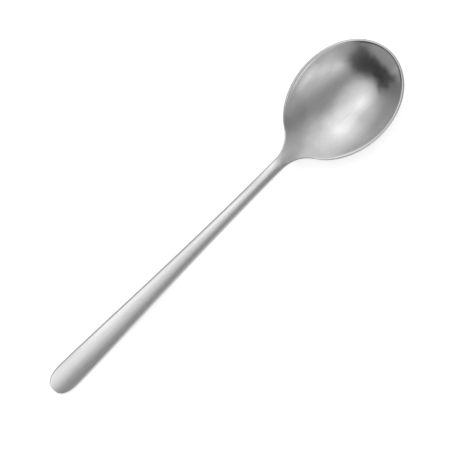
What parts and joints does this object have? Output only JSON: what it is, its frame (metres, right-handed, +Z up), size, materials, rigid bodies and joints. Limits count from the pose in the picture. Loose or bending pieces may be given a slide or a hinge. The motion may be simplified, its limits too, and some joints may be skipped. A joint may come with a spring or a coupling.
{
  "type": "dessert spoon",
  "caption": "Satin steel dessert spoon with an oval bowl, a slim neck and a long tapering handle with a rounded end, for eating and serving desserts.",
  "frame": {"origin": "on the table, under the middle of the spoon's box, with the spoon lying on its back", "axes": "+X along the spoon from the handle's end to the bowl's tip, +Z up out of the bowl, Y across; the spoon is the same on both sides of Y = 0"},
  "size_m": [0.18, 0.0392, 0.0155],
  "materials": {
    "satin_steel": "satin, finely brushed"
  },
  "bodies": {
    "root": {"spoon": "satin_steel"}
  },
  "joints": []
}
